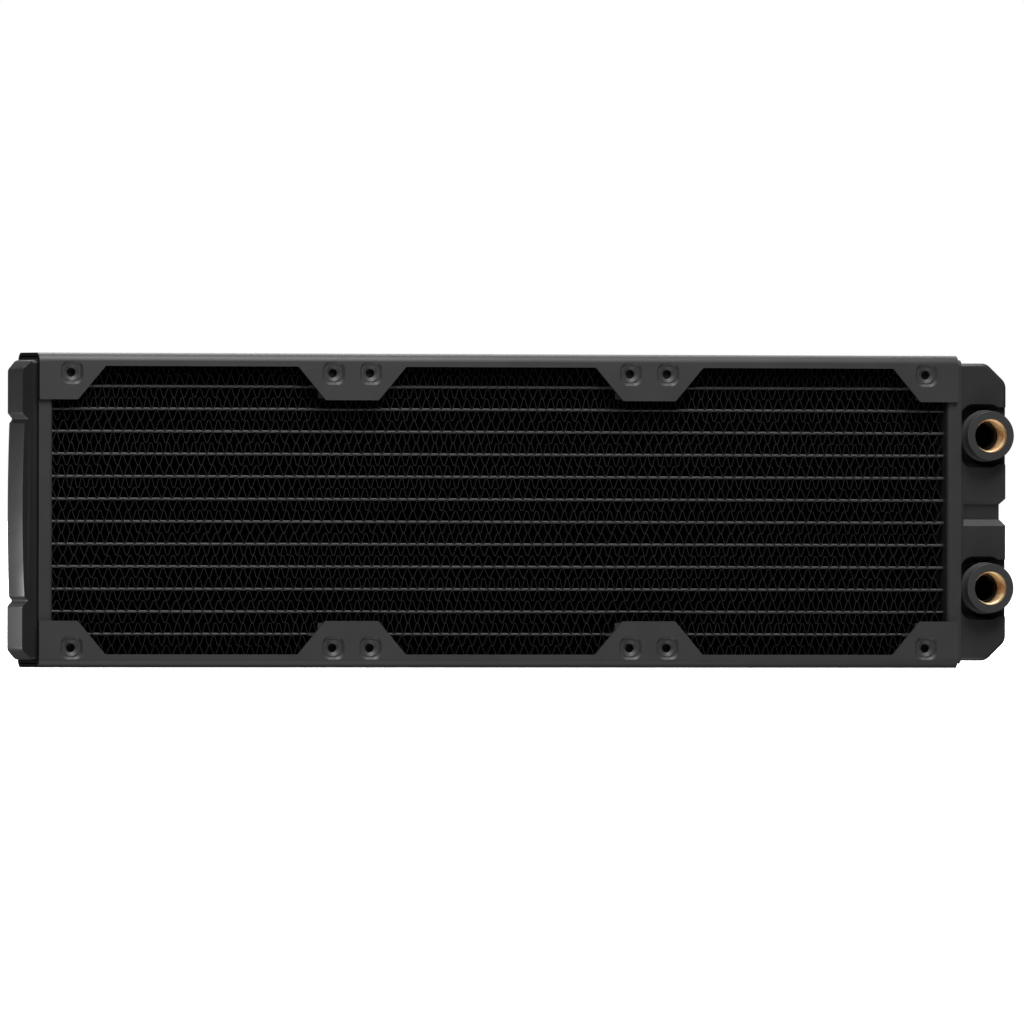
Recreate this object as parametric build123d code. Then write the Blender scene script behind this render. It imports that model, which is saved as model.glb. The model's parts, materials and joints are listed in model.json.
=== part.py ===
from build123d import *
import math
import os

# Slim liquid cooling radiator for three 120 mm fans, standing on one long edge.
# Millimetres. +X runs along the length towards the tank with the ports, the front (fan face
# and ports) looks along -Y, +Z is up. The origin is the middle of the bottom outer face:
# half way between the outermost fan holes, at mid-thickness, at z = 0.

# ---- driving dimensions -------------------------------------------------------------------

# Fans: the standard 120 mm hole square, and the gap between neighbouring fan frames.
FAN_SIZE = 120.0
FAN_HOLE_PITCH = 105.0
FAN_COUNT = 3
SCREW_HOLE_RADIUS = 1.75

# Frame: two folded sheet steel channels.
FRAME_LENGTH = 371.0
FRAME_HEIGHT = FAN_SIZE
FRAME_DEPTH = 27.0
SHEET = 1.2
BEND_RADIUS = 3.6
STRIP_WIDTH = 5.0
GUSSET_REACH = 17.8
GUSSET_SLOPE = 0.866
MID_GUSSET_TIP = 21.2
END_GUSSET_TIP = 15.4
GUSSET_CORNER_RADIUS = 0.7

# Pressed recess and threaded collar at each fan hole.
RECESS_WIDTH = 9.0
RECESS_BACK_WIDTH = 9.6
RECESS_CORNER = 3.2
RECESS_DEPTH = 0.9
RECESS_WALL_ANGLE = 48.0
FUNNEL_DEPTH = 0.6
COLLAR_RADIUS = 3.1
COLLAR_LENGTH = 0.6

# Core: flat tubes with two rows of corrugated fin between neighbours.
TUBE_COUNT = 12
TUBE_PITCH = 8.6
TUBE_THICKNESS = 1.1
TUBE_WIDTH = 16.0
TUBE_WALL = 0.25
TUBE_OVERHANG = 2.0
FIN_DEPTH = 16.6
FIN_SHEET = 0.12
FIN_PERIOD = 3.75
FIN_ROWS_PER_GAP = 2
FIN_END_GAP = 0.2
SIDE_PLATE_THICKNESS = 1.0

# Everything below that carries coolant is placed from the core's own centre, which sits a
# little towards the ports from the middle of the fan pattern.
CORE_CENTRE_X = 0.9

# Headers: pressed pans that hold the tube ends and take the tanks' open edges.
HEADER_INNER_X = 180.6
HEADER_RIM_X = 186.3
HEADER_BEND = 1.6
HEADER_CORNER = 2.6
HEADER_WELL_CORNER = 0.8
HEADER_MARGIN = 1.6
SLOT_CLEARANCE = 0.05

# Tanks: thin pressed shells. The middle of the return tank's end lies a step back from its two
# outer thirds and bows out again; a drafted strip runs down the end of its broad faces.
TANK_WALL = 1.0
TANK_EDGE_RADIUS = 1.5
RETURN_TANK_X = 191.9
RETURN_TANK_STEP = 0.75
RETURN_TANK_BOW = 0.7
RETURN_TANK_CHAMFER = 3.8
RETURN_TANK_CORNER = 2.2
RETURN_TANK_STRIP = 3.6
RETURN_TANK_DRAFT = 1.8
GROOVE_OFFSET = 34.6
GROOVE_WIDTH = 4.6
GROOVE_DEPTH = 2.2
GROOVE_EDGE_RADIUS = 0.7
PORT_TANK_X = 205.1
PORT_TANK_CHAMFER_X = 8.0
PORT_TANK_CHAMFER_Z = 7.5
PORT_TANK_CORNER = 5.0
WAIST_OUTER = 10.8
WAIST_INNER = 5.8
WAIST_DEPTH = 2.3
WAIST_START_X = 187.6
BAFFLE_THICKNESS = 2.5
BAFFLE_CLEARANCE = 0.05

# Ports: brass bosses with a G1/4 thread, modelled at its crest radius.
PORT_X = 196.6
PORT_SPACING = 58.6
PORT_RADIUS = 9.45
PORT_STAND_OUT = 3.6
PORT_EDGE_CHAMFER = 0.5
THREAD_RADIUS = 5.72
THREAD_MOUTH_RADIUS = 6.4
THREAD_DEPTH = 10.0
PASSAGE_RADIUS = 4.9
SPIGOT_RADIUS = 6.4
SPIGOT_LENGTH = 2.0
PORT_FLANGE_RADIUS = 9.9
PORT_FLANGE_DEPTH = 6.3
PORT_FLANGE_THICKNESS = 1.0
PORT_CLEARANCE = 0.2
POCKET_HEIGHT = 24.4
POCKET_DEPTH = 5.0
POCKET_START_X = 186.4
POCKET_END_X = 203.5
POCKET_CORNER = 5.0
POCKET_WALL_ANGLE = 25.0
RAMP_START_X = 199.0
RAMP_END_DEPTH = 1.9
RAMP_MARGIN = 1.2

# Screw guards: small plates on the core, behind the fan holes.
GUARD_THICKNESS = 0.8
GUARD_REACH = 17.1
GUARD_MID_WIDTH = 24.8
GUARD_MID_TAB_WIDTH = 32.6
GUARD_END_WIDTH = 9.8
GUARD_END_TAB_WIDTH = 15.2
GUARD_END_LIMIT_X = 179.4

# ---- derived dimensions -------------------------------------------------------------------

HALF_LENGTH = FRAME_LENGTH / 2
HALF_DEPTH = FRAME_DEPTH / 2
MID_HEIGHT = FRAME_HEIGHT / 2
FAN_CENTRES = [(i - (FAN_COUNT - 1) / 2) * FAN_SIZE for i in range(FAN_COUNT)]
HOLE_XS = [x + side * FAN_HOLE_PITCH / 2 for x in FAN_CENTRES for side in (-1, 1)]
HOLE_Z = (FRAME_HEIGHT - FAN_HOLE_PITCH) / 2
MID_GUSSET_XS = [(a + b) / 2 for a, b in zip(FAN_CENTRES, FAN_CENTRES[1:])]
GUSSET_RUN = (GUSSET_REACH - STRIP_WIDTH) * GUSSET_SLOPE

TUBE_ZS = [MID_HEIGHT + (i - (TUBE_COUNT - 1) / 2) * TUBE_PITCH for i in range(TUBE_COUNT)]
FIN_HEIGHT = (TUBE_PITCH - TUBE_THICKNESS) / FIN_ROWS_PER_GAP
FIN_LENGTH = 2 * (HEADER_INNER_X - FIN_END_GAP)
CORE_TOP_Z = TUBE_ZS[-1] + TUBE_THICKNESS / 2 + FIN_ROWS_PER_GAP * FIN_HEIGHT

HEADER_HALF_DEPTH = HALF_DEPTH - SHEET
HEADER_FACE_X = HEADER_INNER_X + SHEET
TANK_HALF_DEPTH = HEADER_HALF_DEPTH - SHEET
TANK_BOTTOM = HEADER_MARGIN + SHEET
TANK_TOP = FRAME_HEIGHT - TANK_BOTTOM

PORT_ZS = {"inlet_port": MID_HEIGHT - PORT_SPACING / 2, "outlet_port": MID_HEIGHT + PORT_SPACING / 2}
PORT_FACE_Y = -HALF_DEPTH - PORT_STAND_OUT
POCKET_FLOOR_Y = -TANK_HALF_DEPTH + POCKET_DEPTH

# How far cutters reach past what they cut, and how closely an edge or corner is told apart.
BEYOND = 5.0
SMALL = 0.01


# ---- helpers ------------------------------------------------------------------------------


def block(x_range, y_range, z_range):
    """A box between two limits on each axis."""
    sizes = [high - low for low, high in (x_range, y_range, z_range)]
    centre = [(low + high) / 2 for low, high in (x_range, y_range, z_range)]
    return Pos(*centre) * Box(*sizes)


def slab(outline, front, back):
    """A flat outline drawn in X and Z, made solid from y = front to y = back."""
    return extrude(Plane.XZ.offset(-back) * outline, amount=back - front)


def rod(x, z, radius, front, back):
    """A cylinder along Y."""
    return slab(Pos(x, z) * Circle(radius), front, back)


def cone(x, z, front, front_radius, back, back_radius):
    """A cone frustum along Y."""
    axis = Plane(origin=(x, (front + back) / 2, z), z_dir=(0, 1, 0))
    return axis * Cone(front_radius, back_radius, back - front)


def top_copy(shape):
    """The same shape mirrored from the bottom edge of the radiator to its top edge."""
    return mirror(shape, about=Plane.XY.offset(MID_HEIGHT))


def rear_copy(shape):
    """The same shape mirrored from the front to the rear."""
    return mirror(shape, about=Plane.XZ)


def left_copy(shape):
    """The same shape mirrored from the +X end to the -X end."""
    return mirror(shape, about=Plane.YZ)


# ---- frame --------------------------------------------------------------------------------


def flange_outline():
    """One flange of the bottom channel: a strip with a tapered gusset at each group of holes."""
    tip = [(-HALF_LENGTH, GUSSET_REACH), (-HALF_LENGTH + END_GUSSET_TIP, GUSSET_REACH)]
    points = tip + [(-HALF_LENGTH + END_GUSSET_TIP + GUSSET_RUN, STRIP_WIDTH)]
    for x in MID_GUSSET_XS:
        points.append((x - MID_GUSSET_TIP / 2 - GUSSET_RUN, STRIP_WIDTH))
        points.append((x - MID_GUSSET_TIP / 2, GUSSET_REACH))
        points.append((x + MID_GUSSET_TIP / 2, GUSSET_REACH))
        points.append((x + MID_GUSSET_TIP / 2 + GUSSET_RUN, STRIP_WIDTH))
    points += [(-x, z) for x, z in reversed(points[:3])]
    points += [(HALF_LENGTH, BEND_RADIUS), (-HALF_LENGTH, BEND_RADIUS)]
    outline = make_face(Polyline(*points, close=True))
    free_corners = outline.vertices().filter_by(lambda v: v.Y > BEND_RADIUS + SMALL)
    return fillet(free_corners, GUSSET_CORNER_RADIUS)


def channel_bend():
    """The web and both bends of the bottom channel."""
    outer = Pos(0, BEND_RADIUS) * Rectangle(FRAME_DEPTH, 2 * BEND_RADIUS)
    outer = fillet(outer.vertices().group_by(Axis.Y)[0], BEND_RADIUS)
    outer -= Pos(0, 1.5 * BEND_RADIUS) * Rectangle(FRAME_DEPTH, BEND_RADIUS)
    inside = Pos(0, SHEET + BEND_RADIUS) * Rectangle(FRAME_DEPTH - 2 * SHEET, 2 * BEND_RADIUS)
    inside = fillet(inside.vertices().group_by(Axis.Y)[0], BEND_RADIUS - SHEET)
    return extrude(Plane.YZ * (outer - inside), amount=HALF_LENGTH, both=True)


def pressed_recess(x, front, width, depth):
    """A rounded square block, narrowing towards the rear, at one fan hole."""
    outline = Pos(x, HOLE_Z) * RectangleRounded(width, width, RECESS_CORNER)
    return extrude(Plane.XZ.offset(-front) * outline, amount=-depth, taper=RECESS_WALL_ANGLE)


def hole_sink(x):
    """What is pressed and drilled away at one front fan hole."""
    face = -HALF_DEPTH
    floor = face + RECESS_DEPTH
    bore_start = floor + FUNNEL_DEPTH
    sink = pressed_recess(x, face, RECESS_WIDTH, RECESS_DEPTH)
    sink += cone(x, HOLE_Z, floor, COLLAR_RADIUS, bore_start, SCREW_HOLE_RADIUS)
    return sink + rod(x, HOLE_Z, SCREW_HOLE_RADIUS, floor, bore_start + BEYOND)


def hole_boss(x):
    """What the pressing pushes out behind one front fan hole: the recess's back and a collar."""
    back = -HALF_DEPTH + SHEET
    boss = pressed_recess(x, back, RECESS_BACK_WIDTH, RECESS_DEPTH)
    return boss + rod(x, HOLE_Z, COLLAR_RADIUS, back, back + RECESS_DEPTH + COLLAR_LENGTH)


def side_channel():
    """The bottom side channel: a folded sheet with a front and a rear flange."""
    flange = slab(flange_outline(), -HALF_DEPTH, -HALF_DEPTH + SHEET)
    for x in HOLE_XS:
        flange += hole_boss(x)
    channel = channel_bend() + flange + rear_copy(flange)
    for x in HOLE_XS:
        sink = hole_sink(x)
        channel = channel - sink - rear_copy(sink)
    return channel


# ---- core ---------------------------------------------------------------------------------


def flat_tube(z):
    """A flat tube with rounded noses, open at both ends."""
    half = HEADER_FACE_X + TUBE_OVERHANG
    bore = SlotOverall(TUBE_WIDTH - 2 * TUBE_WALL, TUBE_THICKNESS - 2 * TUBE_WALL)
    section = SlotOverall(TUBE_WIDTH, TUBE_THICKNESS) - bore
    return Pos(0, 0, z) * extrude(Plane.YZ * section, amount=half, both=True)


def fin_strip(z, legs):
    """A corrugated strip of the given number of legs, centred at height z."""
    run = FIN_LENGTH / legs
    slope = math.atan2(FIN_HEIGHT, run)
    rise = FIN_SHEET / 2 / math.cos(slope)
    crest = FIN_HEIGHT / 2 - rise
    centre_line = [(i * run - FIN_LENGTH / 2, crest if i % 2 else -crest) for i in range(legs + 1)]
    lower = [(x, h - rise) for x, h in centre_line]
    upper = [(x, h + rise) for x, h in reversed(centre_line)]
    outline = Face(Wire.make_polygon(lower + upper))
    return Pos(0, 0, z) * slab(outline, -FIN_DEPTH / 2, FIN_DEPTH / 2)


def fin_rows():
    """The centre height of every fin strip, from the bottom up."""
    lowest = FRAME_HEIGHT - CORE_TOP_Z + FIN_HEIGHT / 2
    rows = []
    for gap in range(TUBE_COUNT + 1):
        for row in range(FIN_ROWS_PER_GAP):
            rows.append(lowest + gap * TUBE_PITCH + row * FIN_HEIGHT)
    return rows


def fin_legs(index):
    """The leg count of a strip: neighbouring strips are never folded quite alike."""
    typical = round(FIN_LENGTH / (FIN_PERIOD / 2))
    return typical + (3 * index) % 7 - 3


def core_side_plate():
    """The flat bar that closes the core along the bottom edge."""
    top = FRAME_HEIGHT - CORE_TOP_Z
    length = HEADER_INNER_X - FIN_END_GAP
    depth = FIN_DEPTH / 2
    return block((-length, length), (-depth, depth), (top - SIDE_PLATE_THICKNESS, top))


def header_plate():
    """The pan at the +X end: a tube sheet with slots, and a rim that takes the tank."""
    width = 2 * HEADER_HALF_DEPTH
    height = FRAME_HEIGHT - 2 * HEADER_MARGIN
    sheet_plane = Plane.YZ.offset(HEADER_INNER_X)
    outline = sheet_plane * Pos(0, MID_HEIGHT) * RectangleRounded(width, height, HEADER_CORNER)
    pan = extrude(outline, amount=HEADER_RIM_X - HEADER_INNER_X)
    pan = fillet(pan.edges().group_by(Axis.X)[0], HEADER_BEND)
    well = block(
        (HEADER_FACE_X, HEADER_RIM_X + BEYOND),
        (-TANK_HALF_DEPTH, TANK_HALF_DEPTH),
        (TANK_BOTTOM, TANK_TOP),
    )
    well = fillet(well.edges().filter_by(Axis.X), HEADER_WELL_CORNER)
    pan -= well
    clearance = 2 * SLOT_CLEARANCE
    for z in TUBE_ZS:
        slot = Pos(0, z) * SlotOverall(TUBE_WIDTH + clearance, TUBE_THICKNESS + clearance)
        pan -= extrude(sheet_plane * slot, amount=2 * SHEET, both=True)
    return pan


# ---- tanks --------------------------------------------------------------------------------


def tank_body(outline, half_depth, edge_radius):
    """A block of the outline's shape, rounded along its outer edges and open towards x = 0."""
    body = slab(outline, -half_depth, half_depth)
    rim = body.edges().filter_by(lambda e: abs(e.center().Y) > half_depth - SMALL)
    open_side = min(e.center().X for e in rim)
    return fillet(rim.filter_by(lambda e: e.center().X > open_side + SMALL), edge_radius)


def return_tank_outline():
    """The return tank seen from the front, drawn at the +X end: bowed, with two V grooves."""
    end = RETURN_TANK_X
    shoulder = MID_HEIGHT - GROOVE_OFFSET
    half_groove = GROOVE_WIDTH / 2
    middle = end - RETURN_TANK_STEP
    upper_arm = half_groove * (GROOVE_DEPTH - RETURN_TANK_STEP) / GROOVE_DEPTH
    lower = [
        (HEADER_FACE_X, TANK_BOTTOM),
        (end - RETURN_TANK_CHAMFER, TANK_BOTTOM),
        (end, TANK_BOTTOM + RETURN_TANK_CHAMFER),
        (end, shoulder - half_groove),
        (end - GROOVE_DEPTH, shoulder),
        (middle, shoulder + upper_arm),
    ]
    upper = [(x, FRAME_HEIGHT - z) for x, z in reversed(lower)]
    below = Polyline(*lower)
    bow = ThreePointArc(lower[-1], (middle + RETURN_TANK_BOW, MID_HEIGHT), upper[0])
    above = Polyline(*upper)
    outline = make_face([below, bow, above, Line(upper[-1], lower[0])])
    groove_reach = GROOVE_OFFSET + GROOVE_WIDTH
    outer = outline.vertices().filter_by(lambda v: v.X > HEADER_FACE_X + BEYOND)
    outline = fillet(outer.filter_by(lambda v: abs(v.Y - MID_HEIGHT) > groove_reach), RETURN_TANK_CORNER)
    outer = outline.vertices().filter_by(lambda v: v.X > HEADER_FACE_X + BEYOND)
    return fillet(outer.filter_by(lambda v: abs(v.Y - MID_HEIGHT) < groove_reach), GROOVE_EDGE_RADIUS)


def return_tank_hull():
    """The drafted strip and the rounded top and bottom edges that bound the return tank."""
    half = TANK_HALF_DEPTH
    strip_start = RETURN_TANK_X - RETURN_TANK_STRIP
    far_end = RETURN_TANK_X + BEYOND
    far_half = half - RETURN_TANK_DRAFT * (far_end - strip_start) / RETURN_TANK_STRIP
    side = [(HEADER_FACE_X, -half), (strip_start, -half), (far_end, -far_half)]
    plan = make_face(Polyline(*side, *[(x, -y) for x, y in reversed(side)], close=True))
    height = TANK_TOP - TANK_BOTTOM
    section = Plane.YZ * Pos(0, MID_HEIGHT) * RectangleRounded(2 * half, height, TANK_EDGE_RADIUS)
    return extrude(plan, amount=FRAME_HEIGHT) & extrude(section, amount=far_end)


def return_tank():
    """The pressed shell at the -X end, where the coolant turns back."""
    outline = return_tank_outline()
    shell = slab(outline, -TANK_HALF_DEPTH, TANK_HALF_DEPTH) & return_tank_hull()
    cavity_outline = offset(outline, amount=-TANK_WALL)
    half = TANK_HALF_DEPTH - TANK_WALL
    cavity = slab(cavity_outline, -half, half)
    strip_start = RETURN_TANK_X - RETURN_TANK_STRIP
    for side in (-1, 1):
        outer_half = side * half
        inner_half = side * (half - RETURN_TANK_DRAFT)
        cavity -= block(
            (strip_start, RETURN_TANK_X + BEYOND),
            (min(outer_half, inner_half), max(outer_half, inner_half)),
            (0, FRAME_HEIGHT),
        )
    mouth = block(
        (HEADER_FACE_X - BEYOND, HEADER_FACE_X + 2 * TANK_WALL),
        (-half, half),
        (TANK_BOTTOM + TANK_WALL, TANK_TOP - TANK_WALL),
    )
    return left_copy(shell - cavity - mouth)


def port_tank_outline(inset):
    """The port tank seen from the front, drawn smaller by the inset on its closed sides."""
    end = PORT_TANK_X - inset
    bottom = TANK_BOTTOM + inset
    inner_chamfer = inset * (2 - math.sqrt(2))
    chamfer_x = PORT_TANK_CHAMFER_X - inner_chamfer
    chamfer_z = PORT_TANK_CHAMFER_Z - inner_chamfer
    lower = [(HEADER_FACE_X, bottom), (end - chamfer_x, bottom), (end, bottom + chamfer_z)]
    upper = [(x, FRAME_HEIGHT - z) for x, z in reversed(lower)]
    outline = make_face(Polyline(*lower, *upper, close=True))
    corners = outline.vertices().filter_by(lambda v: v.X > HEADER_FACE_X + SMALL)
    return fillet(corners, PORT_TANK_CORNER - inset)


def waist_cutter(inset):
    """What the groove round the middle of the port tank takes away; the baffle sits inside it."""
    end = PORT_TANK_X
    half_depth = TANK_HALF_DEPTH
    outer, inner = WAIST_OUTER / 2 + inset, WAIST_INNER / 2 + inset
    start = WAIST_START_X - inset
    depth = WAIST_DEPTH + inset
    wide = Rectangle(2 * (end - start), 2 * half_depth)
    narrow = Rectangle(2 * (end - depth - start), 2 * (half_depth - depth))
    core = extrude(Pos(start, 0, 0) * narrow, amount=inner, both=True)
    upper_flank = loft([Pos(start, 0, inner) * narrow, Pos(start, 0, outer) * wide])
    core += upper_flank + mirror(upper_flank, about=Plane.XY)
    band = block((start, end + BEYOND), (-half_depth - BEYOND, half_depth + BEYOND), (-outer, outer))
    return Pos(0, 0, MID_HEIGHT) * (band - core)


def pocket_cutter(z, inset):
    """The pocket in the tank's front, in which one port stands; a ramp leads out of its end."""
    width = POCKET_END_X - POCKET_START_X + 2 * inset
    centre = (POCKET_END_X + POCKET_START_X) / 2
    outline = Pos(centre, z) * RectangleRounded(width, POCKET_HEIGHT + 2 * inset, POCKET_CORNER)
    mouth = Plane.XZ.offset(TANK_HALF_DEPTH) * outline
    cutter = extrude(mouth, amount=-(POCKET_DEPTH + inset), taper=POCKET_WALL_ANGLE)
    around_port = PORT_FLANGE_RADIUS + PORT_CLEARANCE + inset
    cutter += rod(PORT_X, z, around_port, -TANK_HALF_DEPTH, POCKET_FLOOR_Y + inset)
    face = -TANK_HALF_DEPTH
    far_end = PORT_TANK_X + BEYOND
    rise = (POCKET_DEPTH - RAMP_END_DEPTH) / (PORT_TANK_X - RAMP_START_X)
    floor_start = POCKET_FLOOR_Y + inset
    floor_end = floor_start - rise * (far_end - RAMP_START_X)
    ramp = [(RAMP_START_X, face), (far_end, face), (far_end, floor_end), (RAMP_START_X, floor_start)]
    half = POCKET_HEIGHT / 2 - RAMP_MARGIN + inset
    plan = make_face(Polyline(*ramp, close=True))
    return cutter + Pos(0, 0, z) * extrude(plan, amount=half, both=True)


def port_tank():
    """The pressed shell at the +X end, with a waist at its baffle and a pocket for each port."""
    half = TANK_HALF_DEPTH - TANK_WALL
    shell = tank_body(port_tank_outline(0), TANK_HALF_DEPTH, TANK_EDGE_RADIUS)
    cavity = slab(port_tank_outline(TANK_WALL), -half, half)
    mouth = block(
        (HEADER_FACE_X - BEYOND, HEADER_FACE_X + TANK_WALL),
        (-half, half),
        (TANK_BOTTOM + TANK_WALL, TANK_TOP - TANK_WALL),
    )
    shell -= waist_cutter(0)
    cavity = cavity + mouth - waist_cutter(TANK_WALL)
    for z in PORT_ZS.values():
        shell = shell - pocket_cutter(z, 0)
        cavity = cavity - pocket_cutter(z, TANK_WALL)
    shell -= cavity
    for z in PORT_ZS.values():
        shell -= rod(PORT_X, z, SPIGOT_RADIUS, POCKET_FLOOR_Y - BEYOND, POCKET_FLOOR_Y + 2 * TANK_WALL)
    return shell


def tank_baffle():
    """The wall between the two halves of the port tank; it fits the inside of the waist."""
    wide = TANK_HALF_DEPTH - TANK_WALL - BAFFLE_CLEARANCE
    narrow = wide - WAIST_DEPTH
    step_x = WAIST_START_X - TANK_WALL - BAFFLE_CLEARANCE
    end = PORT_TANK_X - WAIST_DEPTH - TANK_WALL - BAFFLE_CLEARANCE
    z_range = (MID_HEIGHT - BAFFLE_THICKNESS / 2, MID_HEIGHT + BAFFLE_THICKNESS / 2)
    foot = block((HEADER_FACE_X, step_x), (-wide, wide), z_range)
    return foot + block((HEADER_FACE_X, end), (-narrow, narrow), z_range)


# ---- ports --------------------------------------------------------------------------------


def port(z):
    """A round boss with a threaded bore, a thin flange near its root, and a spigot."""
    face = PORT_FACE_Y
    root = POCKET_FLOOR_Y
    spigot_end = root + SPIGOT_LENGTH
    boss = rod(PORT_X, z, PORT_RADIUS, face, root)
    boss = chamfer(boss.edges().group_by(Axis.Y)[0], PORT_EDGE_CHAMFER)
    flange_front = face + PORT_FLANGE_DEPTH
    boss += rod(PORT_X, z, PORT_FLANGE_RADIUS, flange_front, flange_front + PORT_FLANGE_THICKNESS)
    boss += rod(PORT_X, z, SPIGOT_RADIUS - SLOT_CLEARANCE, root, spigot_end)
    mouth_depth = THREAD_MOUTH_RADIUS - THREAD_RADIUS
    boss -= cone(PORT_X, z, face, THREAD_MOUTH_RADIUS, face + mouth_depth, THREAD_RADIUS)
    boss -= rod(PORT_X, z, THREAD_RADIUS, face, face + THREAD_DEPTH)
    return boss - rod(PORT_X, z, PASSAGE_RADIUS, face, spigot_end)


# ---- screw guards -------------------------------------------------------------------------


def screw_guard(plate_x, tab_x):
    """A small plate on the core behind the holes, with a tab along the nearest tube's nose."""
    rear = -FIN_DEPTH / 2
    y_range = (rear - GUARD_THICKNESS, rear)
    nose_bottom = TUBE_ZS[0] - TUBE_THICKNESS / 2
    plate = block(plate_x, y_range, (FRAME_HEIGHT - CORE_TOP_Z, GUARD_REACH))
    return plate + block(tab_x, y_range, (nose_bottom, nose_bottom + TUBE_THICKNESS))


def front_screw_guards():
    """The eight guards behind the front fan holes."""
    half_plate = GUARD_MID_WIDTH / 2
    half_tab = GUARD_MID_TAB_WIDTH / 2
    guards = []
    for x in MID_GUSSET_XS:
        guards.append(screw_guard((x - half_plate, x + half_plate), (x - half_tab, x + half_tab)))
    limit = GUARD_END_LIMIT_X
    end_guard = screw_guard((limit - GUARD_END_WIDTH, limit), (limit - GUARD_END_TAB_WIDTH, limit))
    guards += [end_guard, left_copy(end_guard)]
    return guards + [top_copy(guard) for guard in guards]


# ---- assembly -----------------------------------------------------------------------------


def frame_nodes():
    """The folded channels and the guards behind their holes."""
    bottom = side_channel()
    guards = front_screw_guards()
    return {
        "side_channel_bottom": bottom,
        "side_channel_top": top_copy(bottom),
        "screw_guards_front": Compound(guards),
        "screw_guards_rear": Compound([rear_copy(guard) for guard in guards]),
    }


def coolant_nodes():
    """Everything that is placed from the core's centre."""
    header = header_plate()
    side_plate = core_side_plate()
    nodes = {
        "header_plate_right": header,
        "header_plate_left": left_copy(header),
        "core_side_plate_bottom": side_plate,
        "core_side_plate_top": top_copy(side_plate),
        "return_tank": return_tank(),
        "port_tank": port_tank(),
        "tank_baffle": tank_baffle(),
    }
    for name, z in PORT_ZS.items():
        nodes[name] = port(z)
    for index, z in enumerate(TUBE_ZS, start=1):
        nodes[f"flat_tube_{index:02d}"] = flat_tube(z)
    for index, z in enumerate(fin_rows(), start=1):
        nodes[f"fin_strip_{index:02d}"] = fin_strip(z, fin_legs(index))
    return {name: Pos(CORE_CENTRE_X, 0, 0) * shape for name, shape in nodes.items()}


def main():
    os.makedirs("parts", exist_ok=True)
    for name, shape in {**frame_nodes(), **coolant_nodes()}.items():
        export_step(shape, f"parts/{name}.step")
        print(f"{name}: {len(shape.solids())} solid(s), {sum(s.volume for s in shape.solids()):.1f} mm3")


main()
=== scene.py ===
import json
import math
import random

import bmesh
import bpy
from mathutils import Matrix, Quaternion, Vector


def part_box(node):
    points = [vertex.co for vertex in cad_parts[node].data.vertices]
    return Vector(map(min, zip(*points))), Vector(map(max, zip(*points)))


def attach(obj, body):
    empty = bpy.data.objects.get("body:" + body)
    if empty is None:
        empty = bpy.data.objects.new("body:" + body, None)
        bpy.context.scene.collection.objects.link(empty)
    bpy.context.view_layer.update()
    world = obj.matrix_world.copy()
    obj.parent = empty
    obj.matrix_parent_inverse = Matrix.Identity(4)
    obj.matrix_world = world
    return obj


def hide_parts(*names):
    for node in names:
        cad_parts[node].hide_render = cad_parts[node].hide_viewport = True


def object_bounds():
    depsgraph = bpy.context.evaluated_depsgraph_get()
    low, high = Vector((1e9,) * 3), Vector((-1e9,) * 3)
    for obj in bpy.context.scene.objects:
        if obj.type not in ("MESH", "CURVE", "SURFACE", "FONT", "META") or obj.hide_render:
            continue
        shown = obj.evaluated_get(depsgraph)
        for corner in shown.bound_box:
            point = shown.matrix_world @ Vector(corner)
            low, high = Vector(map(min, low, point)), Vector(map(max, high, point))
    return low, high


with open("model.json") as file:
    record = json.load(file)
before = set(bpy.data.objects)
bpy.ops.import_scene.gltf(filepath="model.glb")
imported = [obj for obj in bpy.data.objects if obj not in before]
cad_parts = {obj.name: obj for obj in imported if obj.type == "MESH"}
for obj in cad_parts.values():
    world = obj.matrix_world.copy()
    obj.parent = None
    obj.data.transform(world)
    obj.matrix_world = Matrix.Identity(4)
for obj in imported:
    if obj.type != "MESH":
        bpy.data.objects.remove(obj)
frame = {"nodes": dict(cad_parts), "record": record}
nodes = frame["nodes"]
cad_low, cad_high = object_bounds()
MM = 0.001

# ---- places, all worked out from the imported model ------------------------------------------

mounts = {m["name"]: m for m in frame["record"]["mounts"]}
frame_low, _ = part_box("side_channel_bottom")
_, frame_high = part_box("side_channel_top")
front_y = frame_low.y
mid_z = (frame_low.z + frame_high.z) / 2
fin_names = sorted(n for n in nodes if n.startswith("fin_strip"))

# ---- the view -------------------------------------------------------------------------------

VIEW_AZIMUTH = -18.6
VIEW_ELEVATION = 0.02
VIEW_ROLL = 0.13
VIEW_DISTANCE = 12.0
VIEW_WIDTH = 0.3920
AIM_X = 4.4 * MM
AIM_BELOW_MIDDLE = 0.4 * MM
SENSOR = 36.0
CLIP_START, CLIP_END = 0.1, 200.0
FLOOR_SIZE = 160.0


# ---- mesh helpers ---------------------------------------------------------------------------


def new_piece(name, mesh_data, stands_for):
    """A finished mesh as a piece of the object: it rides on the only body and replaces nodes."""
    piece = bpy.data.objects.new(name, mesh_data)
    bpy.context.scene.collection.objects.link(piece)
    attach(piece, "root")
    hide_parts(*stands_for)
    return piece


def mesh_from(name, vertices, faces):
    """A flat-shaded mesh with its normals made to look outwards."""
    data = bpy.data.meshes.new(name)
    data.from_pydata(vertices, [], faces)
    shape = bmesh.new()
    shape.from_mesh(data)
    bmesh.ops.recalc_face_normals(shape, faces=shape.faces)
    shape.to_mesh(data)
    shape.free()
    for face in data.polygons:
        face.use_smooth = False
    return data


def grid_faces(rows, columns):
    """Quads between neighbouring rows of points, each row a closed ring."""
    faces = []
    for row in range(rows - 1):
        for column in range(columns):
            after = (column + 1) % columns
            a, b = row * columns + column, row * columns + after
            faces.append((a, b, b + columns, a + columns))
    return faces


# ---- fins -----------------------------------------------------------------------------------

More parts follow.
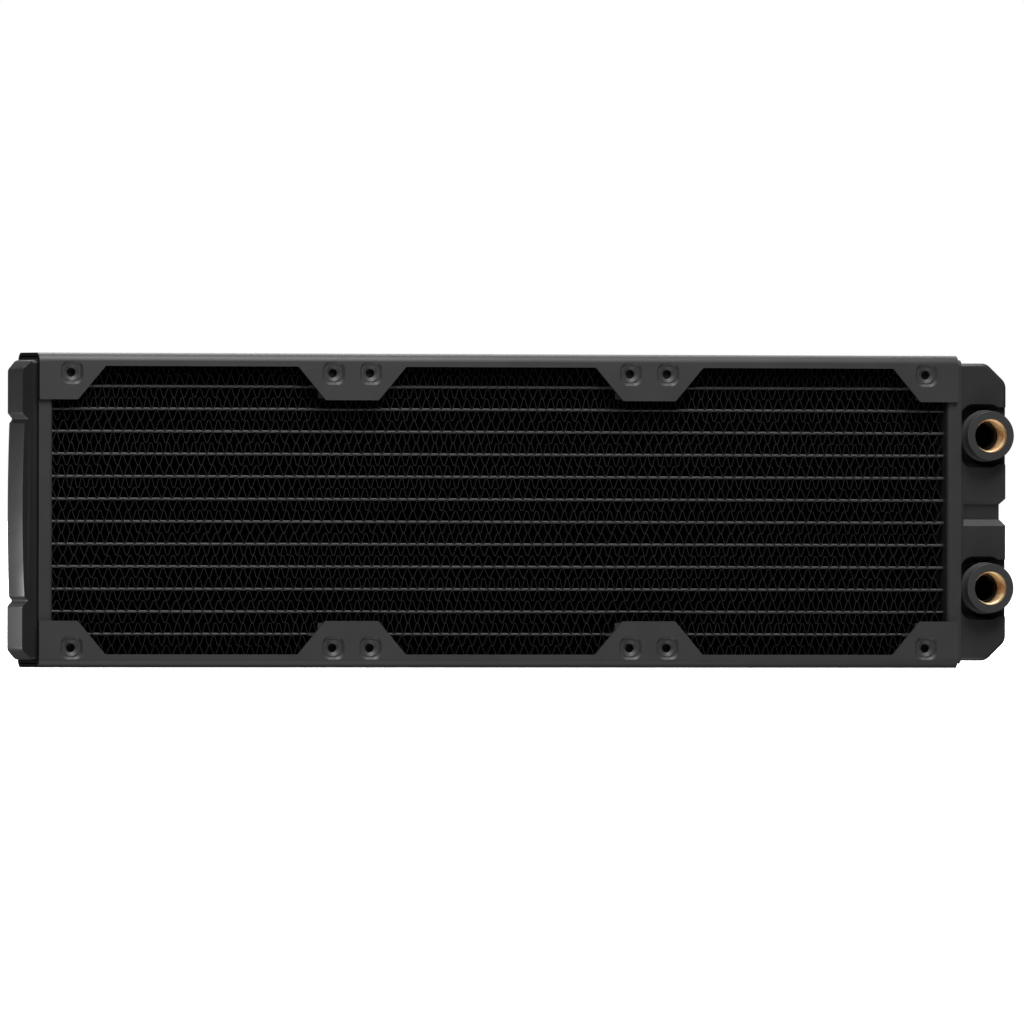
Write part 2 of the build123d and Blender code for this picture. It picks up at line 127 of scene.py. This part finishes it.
FIN_SHEET = 0.12 * MM
FIN_PERIOD = 3.95 * MM
FIN_DRIFT = 0.06
FIN_SWING = 0.09
FIN_JITTER = 0.022
FIN_WANDER_LOW, FIN_WANDER_HIGH = 20 * MM, 34 * MM
FIN_CREST_RADIUS = 0.62 * MM
FIN_OVERLAP = 0.02 * MM
CREST_STEPS = 4
CREST_FULLNESS = 0.9
FIN_DEPTH_STEPS = 2
FIN_SEED = 100


def crest_places(low_x, high_x, rng):
    """Where one strip turns: folds of nearly equal width whose pitch wanders slowly."""
    places, x = [], low_x + FIN_CREST_RADIUS
    phase = rng.uniform(0, math.tau)
    wander = rng.uniform(FIN_WANDER_LOW, FIN_WANDER_HIGH)
    typical = FIN_PERIOD / 2 * (1 + rng.uniform(-FIN_DRIFT, FIN_DRIFT))
    while x < high_x - FIN_CREST_RADIUS:
        places.append(x)
        slow = math.sin(phase + x / wander)
        x += typical * (1 + FIN_SWING * slow + rng.gauss(0, FIN_JITTER))
    return places


def rounded_zigzag(places, low_z, high_z, first_up):
    """The middle line of a corrugated strip: straight legs between round crests."""
    low, high = low_z + FIN_SHEET / 2, high_z - FIN_SHEET / 2
    corners = []
    for index, x in enumerate(places):
        is_up = (index % 2 == 0) == first_up
        corners.append(Vector((x, high if is_up else low)))
    line = [corners[0]]
    for before, corner, after in zip(corners, corners[1:], corners[2:]):
        into, out = (corner - before).normalized(), (after - corner).normalized()
        turn = into.angle(out)
        setback = FIN_CREST_RADIUS * math.tan(turn / 2)
        reach = FIN_CREST_RADIUS / math.cos(turn / 2) - FIN_CREST_RADIUS
        lift = reach if corner.y > (low + high) / 2 else -reach
        for step in range(CREST_STEPS + 1):
            t = step / CREST_STEPS
            a, b = corner - into * setback, corner + out * setback
            point = a * (1 - t) ** 2 + corner * 2 * t * (1 - t) + b * t ** 2
            line.append(Vector((point.x, point.y + lift * CREST_FULLNESS)))
    line.append(corners[-1])
    return [Vector((p.x, min(max(p.y, low), high))) for p in line]


def corrugated_strip(name, node, walls, cut_edges, rng):
    """A thin corrugated fin in the space of one CAD fin strip; its walls carry a near-black
    painted shade, and its cut edges keep the coat's lighter tone.
    """
    low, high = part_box(node)
    places = crest_places(low.x, high.x, rng)
    line = rounded_zigzag(places, low.z - FIN_OVERLAP, high.z + FIN_OVERLAP, rng.random() < 0.5)
    sides = []
    for index, point in enumerate(line):
        before = line[max(index - 1, 0)]
        after = line[min(index + 1, len(line) - 1)]
        along = (after - before).normalized()
        across = Vector((-along.y, along.x)) * (FIN_SHEET / 2)
        sides.append((point + across, point - across))
    depth = high.y - low.y
    depths = [low.y + depth * i / FIN_DEPTH_STEPS for i in range(FIN_DEPTH_STEPS + 1)]
    vertices = []
    for over, under in sides:
        vertices += [(over.x, y, over.y) for y in depths]
        vertices += [(under.x, y, under.y) for y in reversed(depths)]
    columns = 2 * len(depths)
    faces = grid_faces(len(sides), columns)
    faces.append(tuple(range(columns)))
    start = (len(sides) - 1) * columns
    faces.append(tuple(start + i for i in reversed(range(columns))))
    data = mesh_from(name, vertices, faces)
    data.materials.append(walls)
    data.materials.append(cut_edges)
    edge_columns = (len(depths) - 1, columns - 1)
    for index, face in enumerate(data.polygons):
        face.material_index = 1 if index % columns in edge_columns else 0
    return new_piece(name, data, [node])


# ---- ports ----------------------------------------------------------------------------------

THREAD_PITCH = 1.337 * MM
THREAD_CREST = 5.72 * MM
THREAD_ROOT = 6.40 * MM
THREAD_DEPTH = 9.2 * MM
BORE_DEPTH = 10.0 * MM
PORT_LIP = 6.42 * MM
PORT_MOUTH_START = 0.6 * MM
PORT_MOUTH_END = 1.8 * MM
PORT_OUTER = 9.45 * MM
PORT_BOSS_LENGTH = 11.0 * MM
PORT_FLANGE_START = 6.3 * MM
PORT_FLANGE_LENGTH = 1.0 * MM
PORT_FLANGE_CHAMFER = 0.2 * MM
PORT_EDGE_RADIUS = 0.25 * MM
PORT_EDGE_STEPS = 4
PORT_SPIGOT = 6.35 * MM
PORT_PASSAGE = 4.9 * MM
PORT_SEGMENTS = 128
THREAD_STEPS_PER_TURN = 6


def lathe(name, ys, centre, radius_at):
    """A solid turned round a line along Y: a closed loop of points, each with its own radius."""
    vertices = []
    for segment in range(PORT_SEGMENTS):
        angle = math.tau * segment / PORT_SEGMENTS
        for index, y in enumerate(ys):
            r = radius_at(index, segment / PORT_SEGMENTS)
            x, z = centre.x + r * math.cos(angle), centre.z + r * math.sin(angle)
            vertices.append((x, y, z))
    columns = len(ys)
    faces = []
    for segment in range(PORT_SEGMENTS):
        here = segment * columns
        after = (segment + 1) % PORT_SEGMENTS * columns
        for column in range(columns):
            beside = (column + 1) % columns
            faces.append((here + column, here + beside, after + beside, after + column))
    return mesh_from(name, vertices, faces)


def thread_radius(depth, turn):
    """The bore's radius at a depth: a rounded thread that fades in at the mouth and out below."""
    wave = (depth / THREAD_PITCH + turn) % 1.0
    tooth = abs(2 * wave - 1)
    tooth = tooth * tooth * (3 - 2 * tooth)
    mouth = (PORT_MOUTH_END - depth) / (PORT_MOUTH_END - PORT_MOUTH_START)
    mouth = min(1.0, max(0.0, mouth))
    fade = min(1.0, max(0.0, (THREAD_DEPTH - depth) / THREAD_PITCH))
    radius = THREAD_CREST + (THREAD_ROOT - THREAD_CREST) * tooth * fade
    return radius + (PORT_LIP - radius) * mouth


def threaded_port(name, node, outside, inside):
    """A coated round boss with a flange, and a bright brass thread in its bore; the passage and
    shoulder below the thread take the dark coat as painted shade.
    """
    low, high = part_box(node)
    mount = mounts[node]
    centre = Vector((mount["pos_m"][0], 0, mount["pos_m"][2]))
    outer = PORT_OUTER
    face = low.y
    boss_root = face + PORT_BOSS_LENGTH
    edge = PORT_EDGE_RADIUS
    loop = [(PORT_LIP, face), (outer - edge, face)]
    edge_columns = range(len(loop), len(loop) + PORT_EDGE_STEPS)
    for step in range(1, PORT_EDGE_STEPS + 1):
        a = math.pi / 2 * step / PORT_EDGE_STEPS
        loop.append((outer - edge + edge * math.sin(a), face + edge - edge * math.cos(a)))
    flange = (high.x - low.x) / 2
    flange_front = face + PORT_FLANGE_START
    flange_back = flange_front + PORT_FLANGE_LENGTH
    small = PORT_FLANGE_CHAMFER
    loop += [
        (outer, flange_front), (flange - small, flange_front), (flange, flange_front + small),
        (flange, flange_back - small), (flange - small, flange_back), (outer, flange_back),
        (outer, boss_root), (PORT_SPIGOT, boss_root), (PORT_SPIGOT, high.y),
        (PORT_PASSAGE, high.y), (PORT_PASSAGE, face + BORE_DEPTH),
        (THREAD_CREST, face + BORE_DEPTH), (THREAD_CREST, face + THREAD_DEPTH),
    ]
    plain = len(loop)
    turns = THREAD_DEPTH / THREAD_PITCH
    steps = int(turns * THREAD_STEPS_PER_TURN)
    depths = [THREAD_DEPTH * (1 - (i + 1) / steps) for i in range(steps - 1)]
    loop += [(THREAD_CREST, face + depth) for depth in depths]

    def radius(index, turn):
        if index < plain:
            return loop[index][0]
        return thread_radius(depths[index - plain], turn)

    data = lathe(name, [y for _, y in loop], centre, radius)
    data.materials.append(outside)
    data.materials.append(inside)
    # painted shade: the passage and the shoulder below the thread get the dark outside coat, so
    # the bottom of the bore reads black
    first_bare = plain - 1
    columns = len(loop)
    for face_index, polygon in enumerate(data.polygons):
        column = face_index % columns
        polygon.material_index = 1 if column >= first_bare else 0
        polygon.use_smooth = column >= first_bare or column in edge_columns
    return new_piece(name, data, [node])


# ---- materials ------------------------------------------------------------------------------

CLOUD_WAVES = 90.0
ORANGE_PEEL_WAVES = 900.0
GRAIN_WAVES = 4200.0
FLUX_WAVES = 170.0
TURNING_WAVES = 1500.0
TURNING_STRETCH = (0.25, 6.0, 0.25)
BRASS_CREAM = (0.95, 0.80, 0.55)
BRASS_YELLOW = (0.92, 0.70, 0.40)
BRASS_COPPER = (0.80, 0.42, 0.24)
PAPER_GLOW = 0.45


class Paint:
    """Wires one procedural material in the object's own coordinates."""

    def __init__(self, name):
        self.material = bpy.data.materials.new(name)
        self.material.use_nodes = True
        self.tree = self.material.node_tree
        self.shader = self.tree.nodes["Principled BSDF"]
        self.place = self.tree.nodes.new("ShaderNodeTexCoord").outputs["Object"]

    def noise(self, scale, detail=3.0, roughness=0.5, stretch=None):
        """Noise at so many waves per metre."""
        where = self.place
        if stretch:
            mapping = self.tree.nodes.new("ShaderNodeMapping")
            mapping.inputs["Scale"].default_value = stretch
            self.tree.links.new(where, mapping.inputs["Vector"])
            where = mapping.outputs["Vector"]
        node = self.tree.nodes.new("ShaderNodeTexNoise")
        node.inputs["Scale"].default_value = scale
        node.inputs["Detail"].default_value = detail
        node.inputs["Roughness"].default_value = roughness
        self.tree.links.new(where, node.inputs["Vector"])
        return node.outputs["Fac"]

    def ramp(self, value, stops):
        """Colours along a value between 0 and 1."""
        node = self.tree.nodes.new("ShaderNodeValToRGB")
        while len(node.color_ramp.elements) < len(stops):
            node.color_ramp.elements.new(0.5)
        for element, (place, colour) in zip(node.color_ramp.elements, stops):
            element.position = place
            element.color = (*colour, 1.0)
        self.tree.links.new(value, node.inputs["Fac"])
        return node.outputs["Color"]

    def spread(self, value, low, high):
        """A value between 0.3 and 0.7 spread over a range."""
        node = self.tree.nodes.new("ShaderNodeMapRange")
        node.inputs["From Min"].default_value = 0.3
        node.inputs["From Max"].default_value = 0.7
        node.inputs["To Min"].default_value = low
        node.inputs["To Max"].default_value = high
        self.tree.links.new(value, node.inputs["Value"])
        return node.outputs["Result"]

    def bump(self, value, distance, strength, after=None):
        """A height of so many metres, added to an earlier bump."""
        node = self.tree.nodes.new("ShaderNodeBump")
        node.inputs["Distance"].default_value = distance
        node.inputs["Strength"].default_value = strength
        self.tree.links.new(value, node.inputs["Height"])
        if after is not None:
            self.tree.links.new(after, node.inputs["Normal"])
        return node.outputs["Normal"]

    def finish(self, colour, roughness, normal, metallic=0.0, specular=0.5):
        """Joins everything to the shader."""
        self.tree.links.new(colour, self.shader.inputs["Base Color"])
        self.tree.links.new(roughness, self.shader.inputs["Roughness"])
        self.tree.links.new(normal, self.shader.inputs["Normal"])
        self.shader.inputs["Metallic"].default_value = metallic
        self.shader.inputs["Specular IOR Level"].default_value = specular
        return self.material


def grey(value):
    """A neutral colour a touch towards blue."""
    return (value, value, value * 1.03)


def coated(name, dark, light, rough_low, rough_high, grain, specular=0.5):
    """Black powder coat: a fine grain on a slow wave, with faint cloudiness in its colour."""
    paint = Paint(name)
    cloud = paint.noise(CLOUD_WAVES, 4.0)
    fine = paint.noise(GRAIN_WAVES, 2.0, 0.6)
    wave = paint.noise(ORANGE_PEEL_WAVES, 2.0)
    colour = paint.ramp(cloud, [(0.3, grey(dark)), (0.7, grey(light))])
    roughness = paint.spread(fine, rough_low, rough_high)
    normal = paint.bump(wave, grain * 1.5 * MM, 0.35)
    normal = paint.bump(fine, grain * MM, 0.5, after=normal)
    return paint.finish(colour, roughness, normal, specular=specular)


def bare_brass(name):
    """Machined brass: fine turning marks, warmer and duller in patches where flux ran."""
    paint = Paint(name)
    patches = paint.noise(FLUX_WAVES, 2.0)
    marks = paint.noise(TURNING_WAVES, 2.0, 0.5, stretch=TURNING_STRETCH)
    stops = [(0.36, BRASS_CREAM), (0.52, BRASS_YELLOW), (0.66, BRASS_COPPER)]
    colour = paint.ramp(patches, stops)
    roughness = paint.spread(marks, 0.42, 0.58)
    normal = paint.bump(marks, 0.006 * MM, 0.3)
    return paint.finish(colour, roughness, normal, metallic=0.8)


def floor_material():
    """Pale, even studio paper."""
    paint = Paint("studio_paper")
    tone = paint.noise(6.0, 2.0)
    colour = paint.ramp(tone, [(0.0, (0.93, 0.93, 0.93)), (1.0, (0.95, 0.95, 0.95))])
    roughness = paint.spread(tone, 0.85, 0.95)
    normal = paint.bump(tone, 0.01 * MM, 0.1)
    paint.tree.links.new(colour, paint.shader.inputs["Emission Color"])
    paint.shader.inputs["Emission Strength"].default_value = PAPER_GLOW
    return paint.finish(colour, roughness, normal, specular=0.0)


def paint_node(name, material):
    """Puts one material on a CAD node."""
    data = nodes[name].data
    data.materials.clear()
    data.materials.append(material)


frame_coat = coated("frame_powder_coat", 0.034, 0.040, 0.46, 0.56, 0.012)
tank_coat = coated("tank_satin_coat", 0.024, 0.028, 0.40, 0.50, 0.010)
pan_coat = coated("header_satin_coat", 0.029, 0.033, 0.46, 0.56, 0.010)
# painted shade: the return tank's coat is made darker than the port tank's to stand in for shade
# on its front
painted_shade_return_tank = coated("return_tank_painted_shade_coat", 0.012, 0.015, 0.38, 0.48, 0.010, specular=0.3)
tube_coat = coated("tube_thin_coat", 0.038, 0.046, 0.44, 0.54, 0.008, specular=0.35)
# painted shade: the fin walls are near black because little light gets into the cells; the cut
# edges keep a normal coat tone, so they read as lit
painted_shade_fin_walls = coated("fin_walls_painted_shade", 0.004, 0.006, 0.60, 0.72, 0.008, specular=0.05)
fin_edge = coated("fin_cut_edge", 0.026, 0.034, 0.50, 0.62, 0.004, specular=0.3)
port_coat = coated("port_satin_coat", 0.034, 0.040, 0.44, 0.54, 0.010)
brass = bare_brass("port_bare_brass")

for name in nodes:
    if name.startswith(("side_channel", "screw_guards")):
        paint_node(name, frame_coat)
    elif name == "return_tank":
        paint_node(name, painted_shade_return_tank)
    elif name.startswith("header_plate"):
        paint_node(name, pan_coat)
    elif name.startswith(("port_tank", "tank_baffle")):
        paint_node(name, tank_coat)
    elif name.startswith("fin_strip"):
        paint_node(name, painted_shade_fin_walls)
    else:
        paint_node(name, tube_coat)


WELD_REACH = 0.002 * MM
BEVEL_SEGMENTS = 3
BEVEL_ANGLE = 28.0
CHANNEL_SOFTNESS = 0.16 * MM
HEADER_SOFTNESS = 0.12 * MM
RETURN_TANK_SOFTNESS = 0.30 * MM
PORT_TANK_SOFTNESS = 0.60 * MM


def soften_edges(name, width):
    """Rounds the edges that a press or a coat of paint leaves soft."""
    node = nodes[name]
    weld = node.modifiers.new("join", "WELD")
    weld.merge_threshold = WELD_REACH
    bevel = node.modifiers.new("soft_edges", "BEVEL")
    bevel.width = width
    bevel.segments = BEVEL_SEGMENTS
    bevel.limit_method = "ANGLE"
    bevel.angle_limit = math.radians(BEVEL_ANGLE)
    bevel.use_clamp_overlap = True


for name in ("side_channel_bottom", "side_channel_top"):
    soften_edges(name, CHANNEL_SOFTNESS)
soften_edges("return_tank", RETURN_TANK_SOFTNESS)
soften_edges("port_tank", PORT_TANK_SOFTNESS)
for name in ("header_plate_left", "header_plate_right"):
    soften_edges(name, HEADER_SOFTNESS)

for name in ("inlet_port", "outlet_port"):
    threaded_port("threaded_" + name, name, port_coat, brass)
for index, name in enumerate(fin_names):
    rng = random.Random(FIN_SEED + index)
    corrugated_strip("corrugated_" + name, name, painted_shade_fin_walls, fin_edge, rng)

# ---- studio ---------------------------------------------------------------------------------


def direction(azimuth, elevation):
    """The unit vector from the object towards a viewer at that azimuth and elevation."""
    a, e = math.radians(azimuth), math.radians(elevation)
    return Vector((math.sin(a) * math.cos(e), -math.cos(a) * math.cos(e), math.sin(e)))


def add_floor():
    """A large pale floor under the object."""
    half = FLOOR_SIZE / 2
    z = cad_low.z
    corners = [(-half, -half, z), (half, -half, z), (half, half, z), (-half, half, z)]
    data = mesh_from("studio_floor", corners, [(0, 1, 2, 3)])
    floor = bpy.data.objects.new("studio_floor", data)
    bpy.context.scene.collection.objects.link(floor)
    data.materials.append(floor_material())
    floor.visible_diffuse = False
    floor.visible_glossy = False
    floor.visible_shadow = False


def add_world(seen, fill):
    """A white surround, which lights the object only as a weak fill."""
    world = bpy.data.worlds.new("studio_surround")
    bpy.context.scene.world = world
    world.use_nodes = True
    tree = world.node_tree
    background = tree.nodes["Background"]
    background.inputs["Color"].default_value = (1.0, 1.0, 1.0, 1.0)
    path = tree.nodes.new("ShaderNodeLightPath")
    level = tree.nodes.new("ShaderNodeMapRange")
    level.inputs["To Min"].default_value = fill
    level.inputs["To Max"].default_value = seen
    tree.links.new(path.outputs["Is Camera Ray"], level.inputs["Value"])
    tree.links.new(level.outputs["Result"], background.inputs["Strength"])


def add_sun(name, azimuth, elevation, softness, strength):
    """An even, far, soft light."""
    data = bpy.data.lights.new(name, "SUN")
    data.angle = math.radians(softness)
    data.energy = strength
    lamp = bpy.data.objects.new(name, data)
    bpy.context.scene.collection.objects.link(lamp)
    lamp.rotation_mode = "QUATERNION"
    lamp.rotation_quaternion = (-direction(azimuth, elevation)).to_track_quat("-Z", "Y")


def add_area_light(name, azimuth, elevation, distance, width, height, power, aim, only=None):
    """A soft box that looks at one point of the object, and may light one piece only."""
    data = bpy.data.lights.new(name, "AREA")
    data.shape = "RECTANGLE"
    data.size, data.size_y = width, height
    data.energy = power
    lamp = bpy.data.objects.new(name, data)
    bpy.context.scene.collection.objects.link(lamp)
    back = direction(azimuth, elevation)
    lamp.location = aim + back * distance
    lamp.rotation_mode = "QUATERNION"
    lamp.rotation_quaternion = (-back).to_track_quat("-Z", "Y")
    lamp.visible_camera = False
    if only:
        lit = bpy.data.collections.new(name + "_lights")
        lit.objects.link(only)
        lamp.light_linking.receiver_collection = lit


def add_camera():
    """A long lens at the photograph's viewing angle."""
    data = bpy.data.cameras.new("camera")
    data.sensor_width = SENSOR
    data.lens = SENSOR * VIEW_DISTANCE / VIEW_WIDTH
    data.clip_start, data.clip_end = CLIP_START, CLIP_END
    camera = bpy.data.objects.new("camera", data)
    bpy.context.scene.collection.objects.link(camera)
    back = direction(VIEW_AZIMUTH, VIEW_ELEVATION)
    aim = Vector((AIM_X, front_y, mid_z - AIM_BELOW_MIDDLE))
    camera.location = aim + back * VIEW_DISTANCE
    camera.rotation_mode = "QUATERNION"
    level = (-back).to_track_quat("-Z", "Y")
    camera.rotation_quaternion = level @ Quaternion((0, 0, 1), math.radians(VIEW_ROLL))
    bpy.context.scene.camera = camera


add_floor()
add_world(1.0, 0.05)
add_sun("overhead_key", 8, 60, 26, 3.0)
add_sun("rear_key", 170, 50, 40, 2.4)
add_sun("floor_bounce", 6, -58, 50, 1.1)
left_fan = Vector((-0.09, front_y, mid_z))
add_area_light("front_left_soft", 4, 45, 0.42, 0.30, 0.16, 0.60, left_fan)
tank_end = Vector((cad_low.x, 0, 0.02))
add_area_light("low_left_card", -114, 0, 0.135, 0.05, 0.02, 0.51, tank_end, nodes["return_tank"])
add_camera()
bpy.context.scene.view_settings.view_transform = "Standard"
